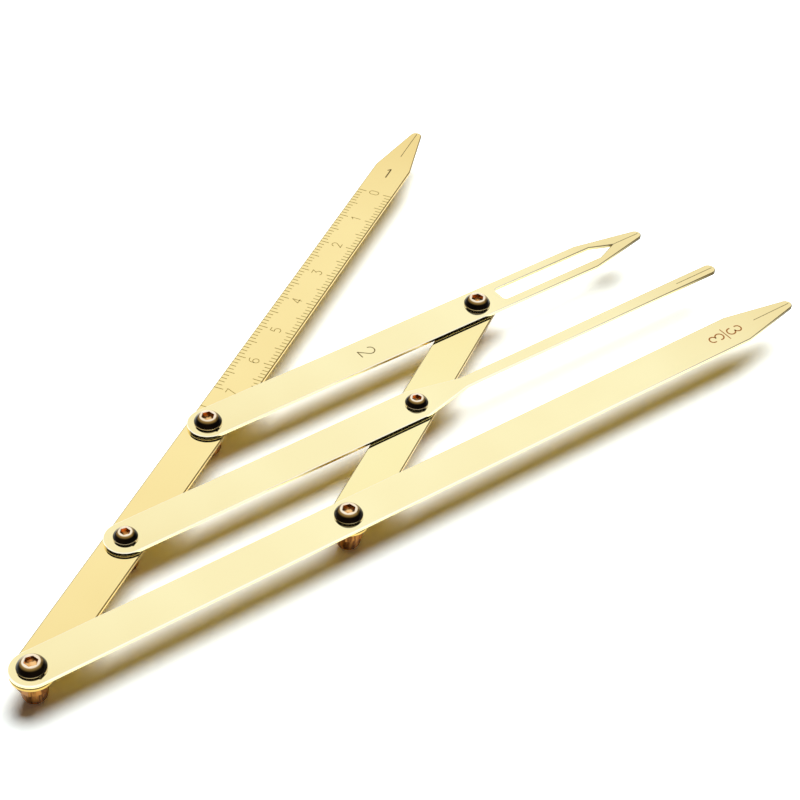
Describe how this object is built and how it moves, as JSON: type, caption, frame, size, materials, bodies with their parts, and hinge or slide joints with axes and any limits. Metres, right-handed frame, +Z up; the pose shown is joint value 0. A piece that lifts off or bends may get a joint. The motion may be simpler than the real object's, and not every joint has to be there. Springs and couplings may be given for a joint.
{
  "type": "golden ratio caliper",
  "caption": "Flat gold parallelogram divider whose linked pointers keep the golden ratio between their tips, with a millimetre ruler on one arm.",
  "frame": {"origin": "on the surface the caliper stands on, below the middle of its bounding box at rest", "axes": "+Z up through the pivots, +Y from the common pivot towards the tips, halfway between the two outer arms; the ruler arm is on the -X side"},
  "size_m": [0.0954, 0.1674, 0.0095],
  "materials": {
    "bright_bar": "polished",
    "deep_bar": "polished",
    "screw": "polished",
    "nut": "polished",
    "washer": "satin"
  },
  "bodies": {
    "ruler": {"ruler_arm": "deep_bar", "screw_p1": "screw", "screw_p2": "screw", "screw_p3": "screw", "nut_p1": "nut", "nut_p2": "nut", "nut_p3": "nut", "washer_p1": "washer", "washer_p2": "washer", "washer_p3": "washer"},
    "arm": {"long_arm": "bright_bar"},
    "slotted": {"slotted_pointer": "bright_bar"},
    "thin": {"thin_pointer": "bright_bar"},
    "link": {"link_bar": "deep_bar", "screw_q1": "screw", "screw_q2": "screw", "screw_q3": "screw", "nut_q1": "nut", "nut_q2": "nut", "nut_q3": "nut", "washer_q1": "washer", "washer_q2": "washer", "washer_q3": "washer"}
  },
  "joints": [
    {"name": "arm_pivot", "type": "hinge", "parent": "ruler", "child": "arm", "pos_m": [0, -0.07978, 0.0071], "axis": [0, 0, -1], "range_deg": [-17.3, 133.3]},
    {"name": "slotted_pivot", "type": "hinge", "parent": "ruler", "child": "slotted", "pos_m": [-0.0179, -0.01736, 0.0071], "axis": [0, 0, -1], "range_deg": [-17.3, 133.3]},
    {"name": "thin_pivot", "type": "hinge", "parent": "ruler", "child": "thin", "pos_m": [-0.00895, -0.04857, 0.0071], "axis": [0, 0, -1], "range_deg": [-17.3, 133.3]},
    {"name": "link_pivot", "type": "hinge", "parent": "arm", "child": "link", "pos_m": [0.01723, -0.0197, 0.0071], "axis": [0, 0, -1], "range_deg": [-133.3, 17.3]}
  ],
  "couplings": [
    {"joint": "slotted_pivot", "follows": "arm_pivot", "ratio": 1},
    {"joint": "thin_pivot", "follows": "arm_pivot", "ratio": 1},
    {"joint": "link_pivot", "follows": "arm_pivot", "ratio": -1}
  ]
}
